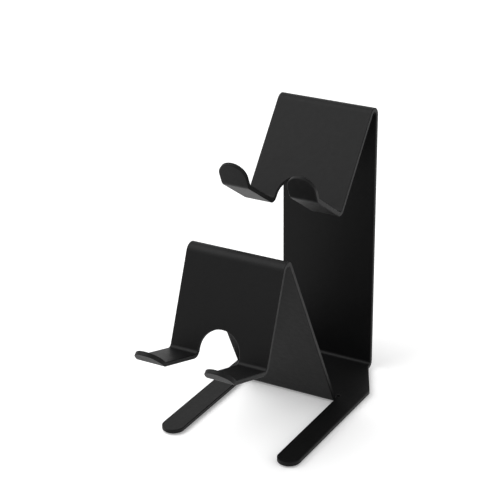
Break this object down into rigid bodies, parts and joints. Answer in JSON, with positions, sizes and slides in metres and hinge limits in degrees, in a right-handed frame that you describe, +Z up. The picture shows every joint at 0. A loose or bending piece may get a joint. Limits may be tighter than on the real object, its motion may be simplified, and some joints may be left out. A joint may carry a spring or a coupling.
{
  "type": "game controller holder",
  "caption": "Folded steel desk stand that holds gamepads one above the other on pronged rests, over a flat plate with long feet.",
  "frame": {"origin": "middle of the footprint's bounding box, on the table", "axes": "+X across the stand, +Y to the back where the panel stands, +Z up; the stand is mirrored about X = 0"},
  "size_m": [0.0876, 0.1732, 0.168],
  "materials": {
    "black_steel": "matte black powder coat, fine grain",
    "pad_rubber": "matt black rubber"
  },
  "bodies": {
    "root": {"folded_stand": "black_steel", "pad_front_left": "pad_rubber", "pad_front_right": "pad_rubber", "pad_rear_left": "pad_rubber", "pad_rear_right": "pad_rubber"}
  },
  "joints": []
}
